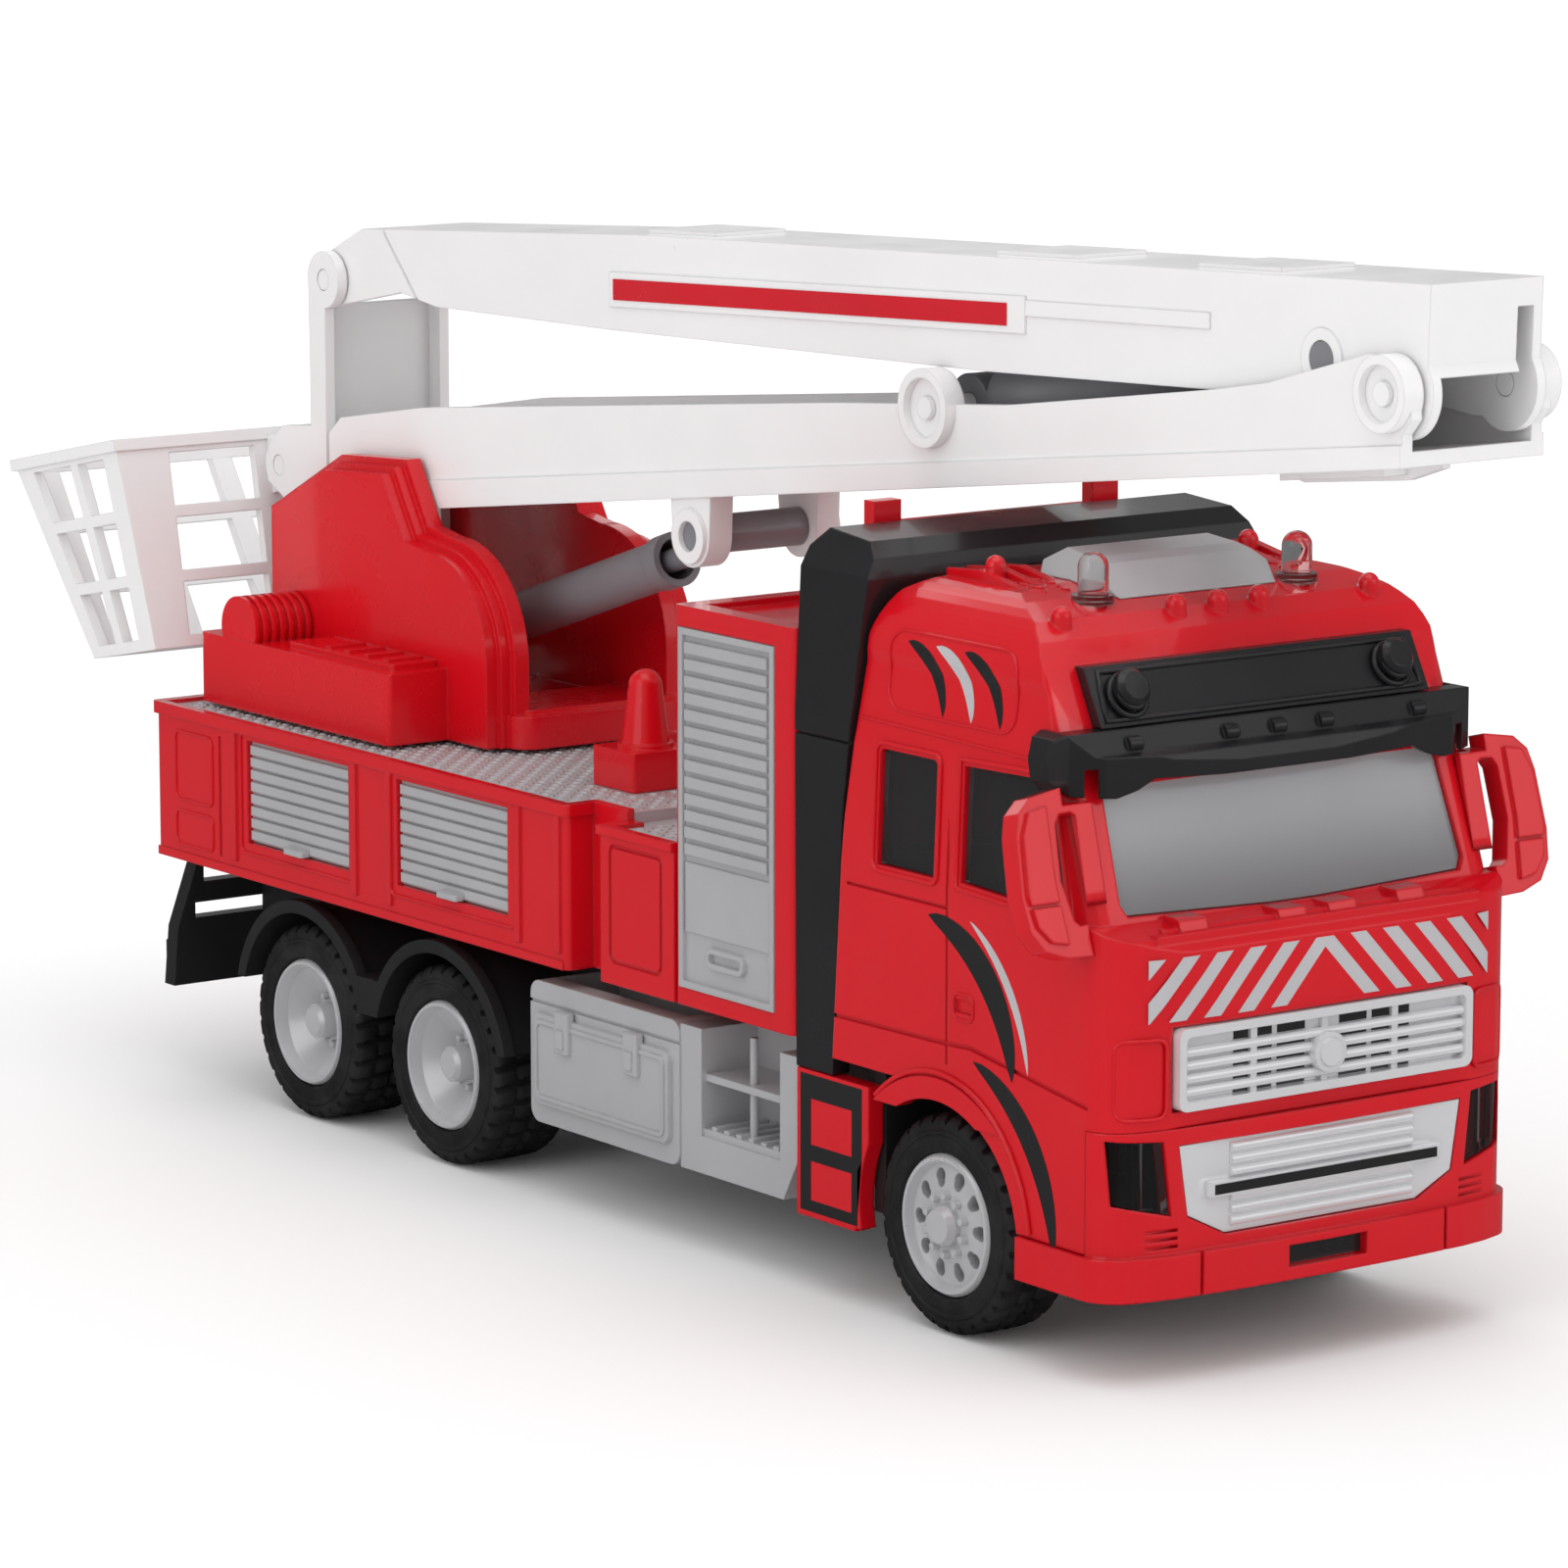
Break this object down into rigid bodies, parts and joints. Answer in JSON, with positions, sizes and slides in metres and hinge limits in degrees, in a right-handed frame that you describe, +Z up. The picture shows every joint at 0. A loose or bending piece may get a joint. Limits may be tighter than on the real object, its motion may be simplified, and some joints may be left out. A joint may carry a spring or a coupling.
{
  "type": "toy fire engine",
  "caption": "Red die-cast style toy fire engine with a slewing turntable, white folding two-piece boom with telescopic struts and a lattice rescue basket",
  "frame": {"origin": "on the ground plane under the centre of the whole object's box in the folded travelling pose: the tyres stand on z = 0, the lorry's mid plane is x = 0", "axes": "+Z up, the nose faces -Y and the basket end +Y, +X is the lorry's left side"},
  "size_m": [0.0668, 0.2324, 0.1081],
  "materials": {
    "red_diecast": "gloss",
    "white_plastic": "gloss",
    "black_plastic": "satin",
    "silver_paint": "satin",
    "rim_silver": "satin",
    "tyre_rubber": "matte",
    "steel_pin": "satin",
    "chrome_trim": "polished",
    "clear_plastic": "gloss",
    "grey_plastic": "satin",
    "interior_black": "matte",
    "label_red": "gloss"
  },
  "bodies": {
    "truck": {"chassis_base": "black_plastic", "mudguards": "black_plastic", "underride_guard": "black_plastic", "cab_shell": "red_diecast", "cab_glass": "clear_plastic", "cab_interior": "interior_black", "steering_wheel": "interior_black", "sun_visor": "black_plastic", "roof_board": "black_plastic", "roof_unit": "silver_paint", "beacon_lenses": "clear_plastic", "upper_grille": "chrome_trim", "lower_grille": "chrome_trim", "headlamp_lenses": "clear_plastic", "bumper": "red_diecast", "side_fairing": "black_plastic", "mirrors": "red_diecast", "wheel_skirts": "red_diecast", "rear_body": "red_diecast", "deck_plate": "silver_paint", "side_shutters": "silver_paint", "tall_locker": "red_diecast", "tall_shutters": "silver_paint", "boom_rest": "red_diecast", "side_boxes": "silver_paint", "deck_manifold": "red_diecast", "tail_lamps": "label_red", "base_screws": "steel_pin"},
    "front_wheelset": {"axle_front": "steel_pin", "rim_front_l": "rim_silver", "rim_front_r": "rim_silver", "tyre_front_l": "tyre_rubber", "tyre_front_r": "tyre_rubber"},
    "middle_wheelset": {"axle_middle": "steel_pin", "rim_middle_l": "rim_silver", "rim_middle_r": "rim_silver", "tyre_middle_l": "tyre_rubber", "tyre_middle_r": "tyre_rubber"},
    "rear_wheelset": {"axle_rear": "steel_pin", "rim_rear_l": "rim_silver", "rim_rear_r": "rim_silver", "tyre_rear_l": "tyre_rubber", "tyre_rear_r": "tyre_rubber"},
    "turntable": {"turntable": "red_diecast", "slew_screw": "steel_pin", "base_pin": "steel_pin", "lower_barrel_pin": "steel_pin"},
    "lower_boom": {"lower_boom": "white_plastic", "elbow_pin": "white_plastic", "upper_barrel_pin": "white_plastic"},
    "lower_barrel": {"lower_barrel": "grey_plastic"},
    "lower_rod": {"lower_rod": "grey_plastic"},
    "upper_boom": {"upper_boom": "white_plastic", "tip_pin": "white_plastic", "boom_labels": "label_red"},
    "upper_barrel": {"upper_barrel": "grey_plastic"},
    "upper_rod": {"upper_rod": "grey_plastic"},
    "hanger": {"hanger": "white_plastic", "basket_pin": "white_plastic"},
    "basket": {"basket": "white_plastic"}
  },
  "joints": [
    {"name": "front_axle_roll", "type": "hinge", "parent": "truck", "child": "front_wheelset", "pos_m": [0, -0.06547, 0.01125], "axis": [1, 0, 0], "continuous": true},
    {"name": "middle_axle_roll", "type": "hinge", "parent": "truck", "child": "middle_wheelset", "pos_m": [0, 0.02643, 0.01125], "axis": [1, 0, 0], "continuous": true},
    {"name": "rear_axle_roll", "type": "hinge", "parent": "truck", "child": "rear_wheelset", "pos_m": [0, 0.05473, 0.01125], "axis": [1, 0, 0], "continuous": true},
    {"name": "turntable_slew", "type": "hinge", "parent": "truck", "child": "turntable", "pos_m": [0, 0.05683, 0.0445], "axis": [0, 0, 1], "range_deg": [-130, 130]},
    {"name": "lower_boom_raise", "type": "hinge", "parent": "turntable", "child": "lower_boom", "pos_m": [0, 0.06383, 0.0703], "axis": [-1, 0, 0], "range_deg": [0, 11], "stiffness_Nm_per_rad": 0.4},
    {"name": "lower_barrel_tilt", "type": "hinge", "parent": "turntable", "child": "lower_barrel", "pos_m": [0, 0.06383, 0.0514], "axis": [-1, 0, 0], "range_deg": [-2, 12]},
    {"name": "lower_rod_tilt", "type": "hinge", "parent": "lower_boom", "child": "lower_rod", "pos_m": [0, 0.00183, 0.0716], "axis": [-1, 0, 0], "range_deg": [-4, 2]},
    {"name": "upper_boom_fold", "type": "hinge", "parent": "lower_boom", "child": "upper_boom", "pos_m": [0, -0.11157, 0.0977], "axis": [1, 0, 0], "range_deg": [0, 75], "stiffness_Nm_per_rad": 0.4},
    {"name": "upper_barrel_tilt", "type": "hinge", "parent": "lower_boom", "child": "upper_barrel", "pos_m": [0, -0.04097, 0.0896], "axis": [1, 0, 0], "range_deg": [-9, 2]},
    {"name": "upper_rod_tilt", "type": "hinge", "parent": "upper_boom", "child": "upper_rod", "pos_m": [0, -0.10027, 0.0998], "axis": [1, 0, 0], "range_deg": [-84, 2]},
    {"name": "hanger_level", "type": "hinge", "parent": "upper_boom", "child": "hanger", "pos_m": [0, 0.07613, 0.0932], "axis": [1, 0, 0], "range_deg": [0, 75], "stiffness_Nm_per_rad": 0.05},
    {"name": "basket_level", "type": "hinge", "parent": "hanger", "child": "basket", "pos_m": [0, 0.08643, 0.0706], "axis": [1, 0, 0], "range_deg": [0, 45], "stiffness_Nm_per_rad": 0.05}
  ],
  "couplings": [
    {"joint": "lower_barrel_tilt", "follows": "lower_boom_raise", "ratio": 0.891},
    {"joint": "lower_rod_tilt", "follows": "lower_boom_raise", "ratio": -0.109},
    {"joint": "upper_barrel_tilt", "follows": "upper_boom_fold", "ratio": -0.095},
    {"joint": "upper_rod_tilt", "follows": "upper_boom_fold", "ratio": -1.095}
  ]
}
